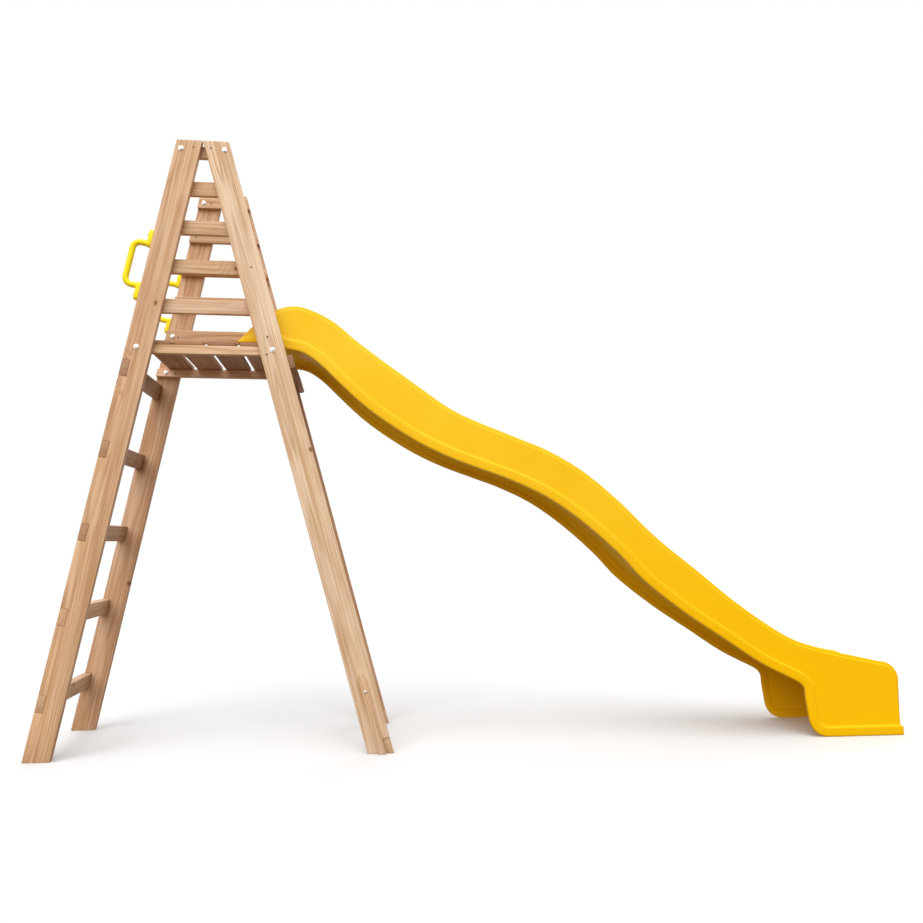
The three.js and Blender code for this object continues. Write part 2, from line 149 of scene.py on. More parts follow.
def closed_ends(bm, rows):
    """Quads between closed rows of vertices, and a face over each end."""
    bridge(bm, rows)
    bm.faces.new(list(reversed(rows[0])))
    bm.faces.new(rows[-1])


def turned(bm, rings, place, sides=24):
    """A closed turned shape. Each ring is (height, radius), where radius may depend on the angle."""
    rows = []
    for height, radius in rings:
        row = []
        for k in range(sides):
            angle = 2 * math.pi * k / sides
            r = radius(angle) if callable(radius) else radius
            row.append(bm.verts.new(place @ Vector((r * math.cos(angle), r * math.sin(angle), height))))
        rows.append(row)
    closed_ends(bm, rows)


def placed(origin, outward, turn=0.0):
    """A frame in millimetres whose local Z points outward from a point of the row frame, in metres."""
    z = Vector(outward).normalized()
    quaternion = z.to_track_quat("Z", "Y")
    return (Matrix.Translation(origin) @ quaternion.to_matrix().to_4x4()
            @ Matrix.Rotation(turn, 4, "Z") @ Matrix.Scale(MM, 4))


# ---------------------------------------------------------------- shader helpers

class Shader:
    """A Principled material built by short calls."""

    def __init__(self, name, **constants):
        self.material = bpy.data.materials.new(name)
        self.material.use_nodes = True
        self.tree = self.material.node_tree
        self.tree.nodes.clear()
        output = self.tree.nodes.new("ShaderNodeOutputMaterial")
        self.bsdf = self.tree.nodes.new("ShaderNodeBsdfPrincipled")
        self.tree.links.new(self.bsdf.outputs["BSDF"], output.inputs["Surface"])
        for socket, value in constants.items():
            self.bsdf.inputs[socket.replace("_", " ")].default_value = value

    def node(self, kind, *inputs, out=0, **settings):
        made = self.tree.nodes.new("ShaderNode" + kind)
        for key, value in settings.items():
            setattr(made, key, value)
        for index, value in enumerate(inputs):
            self.feed(made.inputs[index], value)
        return made.outputs[out]

    def feed(self, socket, value):
        if isinstance(value, bpy.types.NodeSocket):
            self.tree.links.new(value, socket)
        elif value is not None:
            socket.default_value = value

    def attribute(self, name, out="Fac"):
        made = self.tree.nodes.new("ShaderNodeAttribute")
        made.attribute_name = name
        return made.outputs[out]

    def maths(self, operation, *inputs):
        return self.node("Math", *inputs, operation=operation)

    def stretched(self, vector, scale):
        return self.node("VectorMath", vector, scale, operation="MULTIPLY")

    def noise(self, vector, scale, detail=2.0, roughness=0.5):
        made = self.tree.nodes.new("ShaderNodeTexNoise")
        self.feed(made.inputs["Vector"], vector)
        made.inputs["Scale"].default_value = scale
        made.inputs["Detail"].default_value = detail
        made.inputs["Roughness"].default_value = roughness
        return made.outputs["Fac"]

    def remap(self, value, low, high, to_low=0.0, to_high=1.0, kind="SMOOTHSTEP"):
        made = self.tree.nodes.new("ShaderNodeMapRange")
        made.interpolation_type = kind
        for socket, entry in zip(made.inputs, (value, low, high, to_low, to_high)):
            self.feed(socket, entry)
        return made.outputs["Result"]

    def mix(self, factor, first, second, blend="MIX"):
        made = self.tree.nodes.new("ShaderNodeMix")
        made.data_type = "RGBA"
        made.blend_type = blend
        self.feed(made.inputs["Factor"], factor)
        for socket, value in ((made.inputs[6], first), (made.inputs[7], second)):
            self.feed(socket, (*value, 1.0) if isinstance(value, tuple) else value)
        return made.outputs[2]

    def bump(self, height, strength, distance, below=None):
        made = self.tree.nodes.new("ShaderNodeBump")
        made.inputs["Strength"].default_value = strength
        made.inputs["Distance"].default_value = distance
        self.feed(made.inputs["Height"], height)
        if below is not None:
            self.feed(made.inputs["Normal"], below)
        return made.outputs["Normal"]

    def set(self, socket, value):
        self.feed(self.bsdf.inputs[socket], value)


# ---------------------------------------------------------------- materials

RING_SPACING = 0.0062             # metres between growth rings


def wood_material():
    """Softwood: rings round a pith, fibres, knots, darker end grain, arrises darkened as rubbed wear
    and as painted edge shade, and a per-board tint that carries painted shade and light.
    """
    s = Shader("softwood", Specular_IOR_Level=0.3)
    grain = s.attribute("grain", "Vector")
    tone = s.attribute("tone", "Vector")
    end = s.attribute("end")
    arris = s.attribute("arris")

    # knots: sparse cells on the wide face, seen through the thickness, in about half of the cells
    cells = s.stretched(grain, (2.9, 4.4, 0.0))
    spots = s.node("TexVoronoi", cells, None, 1.0, feature="F1", voronoi_dimensions="2D")
    cell_colour = s.node("TexVoronoi", cells, None, 1.0, feature="F1", voronoi_dimensions="2D", out=1)
    chosen = s.remap(cell_colour, 0.36, 0.37)
    edge_noise = s.noise(s.stretched(grain, (60, 90, 90)), 1.0, 2.0)
    ragged = s.maths("ADD", spots, s.maths("MULTIPLY", edge_noise, 0.022))
    knot = s.maths("MULTIPLY", chosen, s.remap(ragged, 0.048, 0.030))
    swirl = s.maths("MULTIPLY", chosen, s.remap(spots, 0.22, 0.02))

    # growth rings, which wander along the board and bend round the knots
    wander = s.noise(s.stretched(grain, (1.4, 9.0, 9.0)), 1.0, 2.0)
    shift = s.maths("ADD", s.maths("MULTIPLY", wander, 0.034), s.maths("MULTIPLY", swirl, 0.016))
    parts = s.tree.nodes.new("ShaderNodeSeparateXYZ")
    s.feed(parts.inputs[0], grain)
    y, z = parts.outputs["Y"], parts.outputs["Z"]
    square = s.maths("ADD", s.maths("MULTIPLY", y, y), s.maths("MULTIPLY", z, z))
    radius = s.maths("ADD", s.maths("SQRT", square), shift)
    wave = s.maths("SINE", s.maths("MULTIPLY", radius, 2 * math.pi / RING_SPACING))
    ring = s.maths("POWER", s.remap(wave, -1.0, 1.0, kind="LINEAR"), 2.2)

    streak = s.noise(s.stretched(grain, (1.5, 95, 70)), 1.0, 3.0, 0.6)
    fibre = s.noise(s.stretched(grain, (9, 900, 900)), 1.0, 2.0, 0.6)
    cloud = s.noise(s.stretched(grain, (2.2, 7, 7)), 1.0, 2.0)
    patch = s.noise(s.stretched(grain, (2.8, 19, 19)), 1.0, 2.0, 0.6)

    pale = (0.80, 0.585, 0.405)
    warm = (0.60, 0.365, 0.195)
    dark = (0.40, 0.205, 0.095)
    colour = s.mix(s.remap(streak, 0.38, 0.64), pale, warm)
    colour = s.mix(s.maths("MULTIPLY", ring, 0.66), colour, (0.50, 0.285, 0.15))
    colour = s.mix(s.remap(fibre, 0.47, 0.72, 0.0, 0.50), colour, dark)
    colour = s.mix(s.remap(cloud, 0.42, 0.72, 0.0, 0.35), colour, (0.64, 0.43, 0.30))
    colour = s.mix(s.remap(patch, 0.48, 0.66, 0.0, 0.40), colour, (0.84, 0.65, 0.48))
    colour = s.mix(s.remap(patch, 0.46, 0.30, 0.0, 0.35), colour, warm)
    colour = s.mix(s.maths("MULTIPLY", swirl, 0.38), colour, warm)
    colour = s.mix(s.maths("MULTIPLY", knot, 0.86), colour, (0.20, 0.085, 0.04))
    end_colour = s.mix(s.maths("MULTIPLY", ring, 0.6), (0.58, 0.36, 0.19), (0.38, 0.20, 0.095))
    colour = s.mix(s.maths("MULTIPLY", end, 0.62), colour, end_colour)
    # darker arrises: partly rubbed wear, partly painted shade along the board edges
    rubbed_and_shaded_arris = s.maths("MULTIPLY", arris, s.remap(cloud, 0.3, 0.7, 0.20, 0.55))
    colour = s.mix(rubbed_and_shaded_arris, colour, (0.44, 0.26, 0.14))
    # per-board tint: the board's own tone, with painted shade on the far and lower boards and painted
    # light on the far deck rail
    colour = s.mix(1.0, colour, tone, blend="MULTIPLY")
    s.set("Base Color", colour)
    s.set("Roughness", s.remap(fibre, 0.3, 0.75, 0.50, 0.72, "LINEAR"))
    relief = s.maths("ADD", s.maths("MULTIPLY", fibre, 0.6), s.maths("MULTIPLY", ring, 0.4))
    relief = s.maths("SUBTRACT", relief, s.maths("MULTIPLY", knot, 0.8))
    s.set("Normal", s.bump(relief, 0.45, 0.0005))
    return s.material


def plastic_material(name, colour, worn, painted_top_highlight, roughness, grain_size):
    """Moulded polyethylene: cast texture, clouding, scuffs, a soft sheen, and a painted highlight that
    makes the upper parts lighter.
    """
    s = Shader(name, Specular_IOR_Level=0.36, Specular_Tint=(1.0, 0.80, 0.25, 1.0))
    place = s.node("TexCoord", out=3)
    cloud = s.noise(place, 3.2, 3.0)
    texture = s.noise(place, grain_size, 2.0, 0.6)
    speck = s.noise(place, 260.0, 2.0, 0.7)
    scuff = s.noise(s.stretched(place, (24, 260, 60)), 1.0, 3.0, 0.7)
    parts = s.tree.nodes.new("ShaderNodeSeparateXYZ")
    s.feed(parts.inputs[0], place)
    # lighter colour towards the top: painted highlight
    tint = s.mix(s.remap(parts.outputs["Z"], 0.25, 1.5), colour, painted_top_highlight)
    tint = s.mix(s.remap(cloud, 0.35, 0.7, 0.0, 0.5), tint, worn)
    scuffed = tuple(min(1.0, c + 0.10) for c in colour)
    dirty = tuple(c * 0.72 for c in colour)
    tint = s.mix(s.remap(scuff, 0.64, 0.80, 0.0, 0.22), tint, scuffed)
    tint = s.mix(s.remap(speck, 0.66, 0.80, 0.0, 0.16), tint, dirty)
    s.set("Base Color", tint)
    rough = s.maths("ADD", s.remap(cloud, 0.3, 0.7, roughness - 0.05, roughness + 0.05),
                    s.remap(scuff, 0.6, 0.8, 0.0, 0.14))
    s.set("Roughness", rough)
    waviness = s.bump(s.noise(place, 9.0, 1.0), 0.12, 0.002)
    s.set("Normal", s.bump(texture, 0.22, 0.00025, below=waviness))
    return s.material


def metal_material(name, colour, roughness, stain):
    """Zinc plated steel: brushed faces, a little white bloom and darker pits."""
    s = Shader(name, Metallic=1.0)
    place = s.node("TexCoord", out=3)
    bloom = s.noise(place, 320.0, 3.0, 0.6)
    brushed = s.noise(s.stretched(place, (900, 900, 4200)), 1.0, 2.0)
    s.set("Base Color", s.mix(s.remap(bloom, 0.45, 0.72), colour, stain))
    s.set("Roughness", s.remap(bloom, 0.3, 0.7, roughness - 0.06, roughness + 0.12))
    s.set("Normal", s.bump(brushed, 0.2, 0.0001))
    return s.material


wood = wood_material()
chute_plastic = plastic_material(
    "chute_polyethylene", colour=(0.88, 0.492, 0.001), worn=(0.86, 0.470, 0.001),
    painted_top_highlight=(0.91, 0.570, 0.022), roughness=0.36, grain_size=900.0)
handle_plastic = plastic_material(
    "handle_plastic", colour=(0.97, 0.77, 0.020), worn=(0.95, 0.73, 0.014),
    painted_top_highlight=(0.97, 0.77, 0.020), roughness=0.34, grain_size=1200.0)
zinc = metal_material("bright_zinc", (0.86, 0.87, 0.88), 0.26, (0.66, 0.68, 0.71))
screw_steel = metal_material("browned_screw", (0.16, 0.11, 0.085), 0.45, (0.07, 0.05, 0.045))


# ---------------------------------------------------------------- timber boards

def board_axes(bm):
    """Length, width and thickness directions: the longest edge, and the normal of the widest faces."""
    longest = max(bm.edges, key=lambda e: e.calc_length())
    length = (longest.verts[0].co - longest.verts[1].co).normalized()
    areas = {}
    for face in bm.faces:
        key = tuple(round(abs(c), 2) for c in face.normal)
        area, normal = areas.get(key, (0.0, face.normal.copy()))
        areas[key] = (area + face.calc_area(), normal)
    thickness = max(areas.values(), key=lambda entry: entry[0])[1]
    if length.dot(Vector((1, 0.01, 1))) < 0:
        length = -length
    return length, thickness.cross(length).normalized(), thickness


def timber_board(node, tone, chance):
    """The node's own solid with eased edges, and its grain laid along its length."""
    bm = bmesh.new()
    bm.from_mesh(frame["nodes"][node].data)
    for layer in list(bm.loops.layers.uv.values()):
        bm.loops.layers.uv.remove(layer)
    bmesh.ops.remove_doubles(bm, verts=bm.verts[:], dist=2e-5)
    bmesh.ops.dissolve_limit(bm, angle_limit=math.radians(1.0), verts=bm.verts[:], edges=bm.edges[:])
    length, width, thickness = board_axes(bm)
    arrises = [e for e in bm.edges if len(e.link_faces) == 2 and e.is_convex
               and e.calc_length() > 7 * MM and e.calc_face_angle(0.0) > math.radians(40)]
    eased = bmesh.ops.bevel(bm, geom=arrises, offset=ARRIS * MM, segments=3, profile=0.5,
                            affect="EDGES", clamp_overlap=True)
    rounded = set(eased["faces"])
    arris_of = bm.faces.layers.float.new("arris")
    end_of = bm.faces.layers.float.new("end")
    tone_of = bm.faces.layers.float_vector.new("tone")
    for face in bm.faces:
        face[arris_of] = 1.0 if face in rounded else 0.0
        face[end_of] = 1.0 if abs(face.normal.dot(length)) > 0.6 else 0.0
        face[tone_of] = Vector(tone)
    grain_of = bm.verts.layers.float_vector.new("grain")
    centre = sum((v.co for v in bm.verts), Vector()) / len(bm.verts)
    pith = Vector((chance.uniform(0, 40), chance.uniform(-0.035, 0.035),
                   chance.choice((-1, 1)) * chance.uniform(0.03, 0.09)))
    for vertex in bm.verts:
        offset = vertex.co - centre
        vertex[grain_of] = Vector((offset.dot(length), offset.dot(width), offset.dot(thickness))) + pith
    obj = mesh_object("timber_" + node, bm, wood, 30.0)
    slot = next(p["material_slot"] for p in frame["record"]["subparts"] if p["node"] == node)
    finish_piece(obj, slot, node)


BOARD_TONE_AND_PAINTED_LIGHT = {                         # how each board tints the wood; the far legs, treads, deck slats and batten are darkened as painted shade, and the far deck rail is lightened as painted light
    "leg_ladder_near": (0.89, 0.82, 0.73), "leg_slide_near": (0.99, 1.02, 1.02),
    "leg_ladder_far": (0.86, 0.77, 0.70), "leg_slide_far": (0.80, 0.72, 0.66),
    "deck_rail_near": (0.98, 0.95, 0.88), "deck_rail_far": (1.12, 1.06, 1.02),
    "guard_rung_3_near": (0.87, 0.82, 0.73), "guard_rung_4_near": (0.93, 0.90, 0.88),
    "chute_batten": (0.50, 0.40, 0.33),
    "tread_3": (0.72, 0.65, 0.60), "tread_4": (0.70, 0.64, 0.60), "tread_5": (0.66, 0.59, 0.55),
    "deck_slat_1": (0.62, 0.50, 0.43), "deck_slat_2": (0.68, 0.54, 0.45),
    "deck_slat_3": (0.58, 0.46, 0.40), "deck_slat_4": (0.64, 0.51, 0.44),
}
PALE_TONE = (0.90, 0.87, 0.82)
# the darker tint of the far boards is painted shade
FAR_SIDE_SHADED_TONE = (0.82, 0.75, 0.68)
TIMBER_PREFIXES = ("leg_", "tread_", "top_plate_", "guard_rung_", "deck_rail_", "deck_slat_",
                   "chute_batten", "ground_stake_", "stake_heel_")


def timber():
    chance = random.Random(11)
    for node in sorted(frame["nodes"]):
        if node.startswith(TIMBER_PREFIXES):
            # far boards take the darker tint, which is painted shade
            usual = FAR_SIDE_SHADED_TONE if node.endswith("_far") else PALE_TONE
            shade = chance.uniform(0.92, 1.08)
            timber_board(node, BOARD_TONE_AND_PAINTED_LIGHT.get(node, [part * shade for part in usual]), chance)


timber()


# ---------------------------------------------------------------- bolts, nuts and screws

def hexagon(flats):
    """The outline of a hexagon with eased corners, as a radius for each angle."""
    def radius(angle):
        local = (angle + math.pi / 6) % (math.pi / 3) - math.pi / 6
        return min(flats / 2 / math.cos(local), flats / 2 * 1.11)
    return radius


def hex_with_washer(bm, place, washer, flats, height, end_radius):
    """A washer, a chamfered hexagon and the domed end of the bolt, standing on a face."""
    thin = 0.09 * washer
    turned(bm, [(0.0, washer / 2 - 0.3), (0.3, washer / 2), (thin - 0.4, washer / 2),
                (thin, washer / 2 - 0.4), (thin, flats / 2)], place, 36)
    turned(bm, [(thin - 0.3, hexagon(flats)), (height - 0.12 * flats, hexagon(flats)),
                (height - 0.03 * flats, flats / 2), (height, 0.42 * flats)], place, 36)
    if end_radius:
        turned(bm, [(height - 1.0, end_radius), (height + 1.6, end_radius),
                    (height + 2.1, end_radius - 0.5)], place, 24)


def bolts():
    chance = random.Random(5)
    for node in sorted(frame["nodes"]):
        if not node.startswith("bolt_"):
            continue
        low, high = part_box(node)
        centre = (low + high) / 2
        side = -1 if node.endswith("_near") else 1
        head = (high.x - low.x) / MM
        rise = 0.3 * head
        outer = side * max(abs(low.y), abs(high.y)) - side * rise * MM
        inner = side * min(abs(low.y), abs(high.y)) + side * 0.35 * head * MM
        turn = chance.uniform(0, math.pi / 3)
        bm = bmesh.new()
        outside = placed(Vector((centre.x, outer, centre.z)), (0, side, 0), turn)
        hex_with_washer(bm, outside, 0.92 * head, 0.70 * head, rise - 0.1, 0)
        inside = placed(Vector((centre.x, inner, centre.z)), (0, -side, 0), turn / 2)
        hex_with_washer(bm, inside, 0.86 * head, 0.66 * head, 0.30 * head, 0.19 * head)
        finish_piece(mesh_object("hex_" + node, bm, zinc), "zinc", node)


bolts()


def cross_recess(size):
    """The outline of a cross recess, as a radius for each angle."""
    return lambda angle: size if abs(math.sin(2 * angle)) < 0.3 else 0.42 * size


def countersunk_screw(bm, place, radius=4.2):
    """A dished screw head with a cross recess, level with the wood."""
    turned(bm, [(-1.6, radius * 0.6), (0.15, radius), (0.4, radius - 0.3),
                (0.1, cross_recess(0.58 * radius)), (-1.0, cross_recess(0.42 * radius))], place)


TOWER_ORIGIN_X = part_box("wave_chute")[1].x - CHUTE_END_X * MM
LADDER_FOOT_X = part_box("leg_ladder_near")[0].x


def tower_point(x, y, z):
    """Tower millimetres to row metres."""
    return Vector((x * MM + TOWER_ORIGIN_X, y * MM, z * MM))


def screw_group(name, spots):
    """Screws as (point in metres, outward direction)."""
    bm = bmesh.new()
    chance = random.Random(len(spots))
    for point, outward in spots:
        countersunk_screw(bm, placed(point, outward, chance.uniform(0, math.pi / 2)))
    finish_piece(mesh_object(name, bm, screw_steel), "zinc")


OUTER_SCREWS = (                  # tower millimetres (x, z) on the outer faces of the near legs
    (-31.6, 2196), (31.2, 2196), (249, 1494), (248, 1429), (186, 1752),
)
FAR_DROP = 12                     # how much lower they sit on the far side
INNER_SCREW_INSETS = (            # from each end of a board on the inner faces, clear of the bolts
    ("top_plate", 58), ("guard_rung_4", 56), ("guard_rung", 30), ("deck_rail", 80),
)
INNER_SCREW_STAGGER = 4
SLAT_SCREW_INSET = 15
TREAD_SCREW_SPREAD = 15           # each screw from the middle of its board, up and down
BATTEN_SCREW_SPREAD = 12


def side_screws():
    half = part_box("tread_1")[1].y
    for label, side in SIDES:
        drop = 0 if side < 0 else FAR_DROP
        spots = [(tower_point(x, side * half / MM, z - drop), (0, side, 0)) for x, z in OUTER_SCREWS]
        screw_group("screws_outer_" + label, spots)
        spots = []
        for node in sorted(frame["nodes"]):
            inset = next((mm for prefix, mm in INNER_SCREW_INSETS if node.startswith(prefix)), None)
            if inset is None or not node.endswith("_" + label):
                continue
            low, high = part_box(node)
            centre = (low + high) / 2
            inner = low.y if side > 0 else high.y
            for end in (-1, 1):
                x = centre.x + end * ((high.x - low.x) / 2 - inset * MM)
                z = centre.z + end * INNER_SCREW_STAGGER * MM
                spots.append((Vector((x, inner, z)), (0, -side, 0)))
        screw_group("screws_inner_" + label, spots)


def deck_screws():
    spots = []
    for node in sorted(frame["nodes"]):
        if node.startswith("deck_slat"):
            low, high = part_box(node)
            for side in (-1, 1):
                for share in (0.25, 0.75):
                    x = low.x + (high.x - low.x) * share
                    y = side * (high.y - SLAT_SCREW_INSET * MM)
                    spots.append((Vector((x, y, high.z)), (0, 0, 1)))
    screw_group("screws_deck", spots)


def cross_board_spots(node, slope, outward, thickness, spread):
    """Two screws at each end of a board that runs across the tower, over the middle of the legs."""
    low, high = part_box(node)
    face = (low + high) / 2 + outward * (thickness / 2 * MM)
    spots = []
    for side in (-1, 1):
        for up in (-1, 1):
            point = face + slope * (up * spread * MM)
            point.y = side * (high.y - BOARD_THICKNESS / 2 * MM)
            spots.append((point, outward))
    return spots


def tread_and_batten_screws():
    slope = Vector((LADDER_LEAN, 0, 1)).normalized()
    outward = Vector((-slope.z, 0, slope.x))
    spots = []
    for node in sorted(frame["nodes"]):
        if node.startswith("tread_"):
            spots += cross_board_spots(node, slope, outward, BOARD_THICKNESS, TREAD_SCREW_SPREAD)
    screw_group("screws_treads", spots)
    slope = Vector((-SLIDE_LEAN, 0, 1)).normalized()
    outward = Vector((slope.z, 0, -slope.x))
    spots = cross_board_spots("chute_batten", slope, outward, BATTEN_THICKNESS, BATTEN_SCREW_SPREAD)
    screw_group("screws_batten", spots)


side_screws()
deck_screws()
tread_and_batten_screws()


# ---------------------------------------------------------------- grab handles

ladder_slope = Vector((LADDER_LEAN, 0, 1)).normalized()
ladder_out = Vector((-ladder_slope.z, 0, ladder_slope.x))


def on_ladder_edge(s, outward, y):
    """A point s up the outer edge of a ladder leg, in metres."""
    foot = Vector((LADDER_FOOT_X, 0, 0))
    return foot + ladder_slope * (s * MM) + ladder_out * (outward * MM) + Vector((0, y, 0))


BEND_STEPS = 10
TUBE_SIDES = 28
LUG_SIDES = 32


def handle_path():
    """Points (up the edge, outward) of the grip's centreline, with round bends."""
    half = HANDLE_SPAN / 2
    reach = HANDLE_STAND_OFF - HANDLE_BEND
    upper = [(half, TUBE_START), (half, 0.4 * reach), (half, 0.8 * reach)]
    for k in range(BEND_STEPS + 1):
        angle = math.pi / 2 * k / BEND_STEPS
        upper.append((half - HANDLE_BEND * (1 - math.cos(angle)),
                      reach + HANDLE_BEND * math.sin(angle)))
    upper += [(u, HANDLE_STAND_OFF) for u in (38, 22, 8)]
    return upper + [(-u, out) for u, out in reversed(upper)]


def handle_tube(bm, y):
    points = [on_ladder_edge(HANDLE_MIDDLE + u, out, y) for u, out in handle_path()]
    rows = []
    for i, point in enumerate(points):
        tangent = (points[min(i + 1, len(points) - 1)] - points[max(i - 1, 0)]).normalized()
        side = Vector((0, 1, 0))
        normal = tangent.cross(side).normalized()
        row = []
        for k in range(TUBE_SIDES):
            angle = 2 * math.pi * k / TUBE_SIDES
            radius = HANDLE_TUBE / 2 * MM
            around = normal * math.cos(angle) + side * math.sin(angle)
            row.append(bm.verts.new(point + around * radius))
        rows.append(row)
    closed_ends(bm, rows)


def handle_lug(bm, end, y):
    """A domed screw lug, its outline a slot shape that meets the tube's end."""
    middle = HANDLE_MIDDLE + end * (HANDLE_SPAN / 2 + LUG_LENGTH / 2 - 3)
    straight = (LUG_LENGTH + HANDLE_TUBE - LUG_WIDTH) / 2
    rows = []
    for inset, height in LUG_CROWN:
        radius = LUG_WIDTH / 2 - inset
        row = []
        for k in range(LUG_SIDES):
            angle = 2 * math.pi * (k + 0.5) / LUG_SIDES
            up = radius * math.sin(angle) + math.copysign(straight, math.sin(angle))
            point = on_ladder_edge(middle + up, height, y)
            point.y += radius * math.cos(angle) * MM
            row.append(bm.verts.new(point))
        rows.append(row)
    closed_ends(bm, rows)


def grab_handles():
    for label, side in SIDES:
        low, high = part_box("leg_ladder_" + label)
        y = (low.y + high.y) / 2
        bm = bmesh.new()
        handle_tube(bm, y)
        for end in (-1, 1):
            handle_lug(bm, end, y)
        finish_piece(mesh_object("moulded_handle_" + label, bm, handle_plastic, 50.0),
                     "handle_plastic", "grab_handle_" + label)
        for end, place in ((-1, "lower"), (1, "upper")):
            s = HANDLE_MIDDLE + end * (HANDLE_SPAN / 2 + HANDLE_TUBE / 2 + LUG_LENGTH / 2)
            bm = bmesh.new()
            turned(bm, [(-2.0, 2.5), (0.0, 5.8), (1.4, 6.0), (3.0, 5.0), (3.9, 3.8),
                        (4.0, cross_recess(2.6)), (2.0, cross_recess(1.9))],
                   placed(on_ladder_edge(s, LUG_THICKNESS, y), ladder_out))
            finish_piece(mesh_object(f"pan_screw_{place}_{label}", bm, zinc), "zinc",
                         f"handle_screw_{place}_{label}")


grab_handles()


# ---------------------------------------------------------------- wave chute

def evenly(points, step):
    """Points at even distances along a line of 2D vectors."""
    result, carried = [points[0]], 0.0
    for a, b in zip(points, points[1:]):
        span = (b - a).length
        while span > 0 and carried + span >= step:
            a = a + (b - a) * ((step - carried) / span)
            span = (b - a).length
            result.append(a)
            carried = 0.0
        carried += span
    result.append(points[-1])
    return result


def spline(points, per_span=24):
    """A uniform Catmull-Rom line through the points."""
    knots = [Vector(p) for p in points]
    result = []
    last = len(knots) - 1
    for i in range(last):
        p0, p1 = knots[max(i - 1, 0)], knots[i]
        p2, p3 = knots[i + 1], knots[min(i + 2, last)]
        v0, v1 = (p2 - p0) / 2, (p3 - p1) / 2
        for k in range(per_span):
            t = k / per_span
            cubic = 2 * p1 - 2 * p2 + v0 + v1
            square = 3 * p2 - 3 * p1 - 2 * v0 - v1
            result.append(cubic * t ** 3 + square * t ** 2 + v0 * t + p1)
    result.append(knots[-1])
    return result


def arc(x, z, radius, start, stop, count):
    steps = [start + (stop - start) * k / count for k in range(count + 1)]
    return [Vector((x + radius * math.cos(a), z + radius * math.sin(a))) for a in steps]


def relaxed(points, rounds):
    """The line with its small kinks evened out, its ends kept."""
    for _ in range(rounds):
        middle = [(a + 2 * b + c) / 4 for a, b, c in zip(points, points[1:], points[2:])]
        points = [points[0], *middle, points[-1]]
    return points


def tangents(line):
    """A smooth direction at each point of a line."""
    last = len(line) - 1
    raw = [(line[min(i + 2, last)] - line[max(i - 2, 0)]).normalized() for i in range(last + 1)]
    return relaxed(raw, 3)


def crossing(origin, direction, line, directions):
    """Distance, point and direction where a ray from origin first crosses a line of points, or None."""
    best = None
    for i, (a, b) in enumerate(zip(line, line[1:])):
        edge = b - a
        det = direction.x * -edge.y + direction.y * edge.x
        if abs(det) < 1e-9:
            continue
        to_a = a - origin
        distance = (to_a.x * -edge.y + to_a.y * edge.x) / det
        share = (direction.x * to_a.y - direction.y * to_a.x) / det
        on_segment = -1e-6 <= share <= 1 + 1e-6
        if distance > 0 and on_segment and (best is None or distance < best[0]):
            turned_to = directions[i].lerp(directions[i + 1], share).normalized()
            best = (distance, a + edge * share, turned_to)
    return best


FOOT_TOP = 196                    # height of the bed at the front of the foot
FOOT_ROUNDING = 75                # where the rim runs down to it
FOOT_CORNER = 76                  # where the hem turns on to the ground
KNEE_X = 2322                     # the hem's last corner before the ground
GROUND_X = 2404                   # from here to the front the hem lies on the ground
PATH_STEP = 6

rim_path = relaxed(evenly(
    spline(RIM_LINE)
    + arc(FRONT_FACE_X - FOOT_ROUNDING, 209, FOOT_ROUNDING, math.pi / 2 - 0.2, 0.0, 16)
    + [Vector((FRONT_FACE_X, FOOT_TOP))], PATH_STEP), 4)
hem_path = relaxed(evenly(
    spline(HEM_LINE)
    + arc(2268, 170, 42, math.pi / 2 - 0.45, -0.3, 8)
    + arc(KNEE_X + FOOT_CORNER, FOOT_CORNER, FOOT_CORNER, math.pi + 0.05, 3 * math.pi / 2, 16),
    PATH_STEP), 6)
hem_path += [Vector((x, 0)) for x in range(GROUND_X, CHUTE_END_X + 1, PATH_STEP)]
hem_path += [Vector((CHUTE_END_X + 4, 0))]
bed_path = relaxed(evenly(spline(BED_LINE), PATH_STEP), 6)
bed_path += [Vector((FRONT_FACE_X, FOOT_TOP)), Vector((FRONT_FACE_X + 15, FOOT_TOP))]


def left_of(tangent):
    return Vector((-tangent.y, tangent.x))


SECTION_STEP = 8                  # farthest that rim or hem moves from one section to the next
FRONT_SECTION_STEP = 1.5          # the same, over the rounded front of the foot
FRONT_ZONE = 13
LEAST_RIM = 1.5                   # least height of the rim above the bed
LEAST_HEM = 4                     # least drop from the bed to the hem
TANGENT_REACH = 9                 # the bed's direction is taken over this far to either side


def stations():
    """Bed, rim and hem points of each section, close together where the hem turns quickly."""
    rows = []
    rim_directions, hem_directions = tangents(rim_path), tangents(hem_path)
    fine = evenly(bed_path, 1.0)
    previous = None
    for i, bed in enumerate(fine):
        if bed.x > CHUTE_END_X:
            break
        ahead, behind = min(i + TANGENT_REACH, len(fine) - 1), max(i - TANGENT_REACH, 0)
        tangent = (fine[ahead] - fine[behind]).normalized()
        up = left_of(tangent)
        rim, rim_up = bed + up * LEAST_RIM, up
        hit = crossing(bed, up, rim_path, rim_directions)
        if hit and hit[0] > LEAST_RIM:
            rim, rim_up = hit[1], left_of(hit[2])
        hem, hem_up = bed - up * LEAST_HEM, up
        hit = crossing(bed, -up, hem_path, hem_directions)
        if hit and hit[0] > LEAST_HEM:
            hem, hem_up = hit[1], left_of(hit[2])
        wanted = FRONT_SECTION_STEP if bed.x > FRONT_FACE_X - FRONT_ZONE else SECTION_STEP
        moved = wanted if previous is None else max((hem - previous[2]).length,
                                                    (rim - previous[1]).length)
        if moved >= wanted:
            previous = (bed, rim, hem, up, rim_up, hem_up)
            rows.append(previous)
    return rows


LIP_BOTTOM, LIP_TOP = 33, 38      # heights between which the hem steps back to the front panel
LIP_SPLIT = 36                    # below this a front corner belongs to the hem


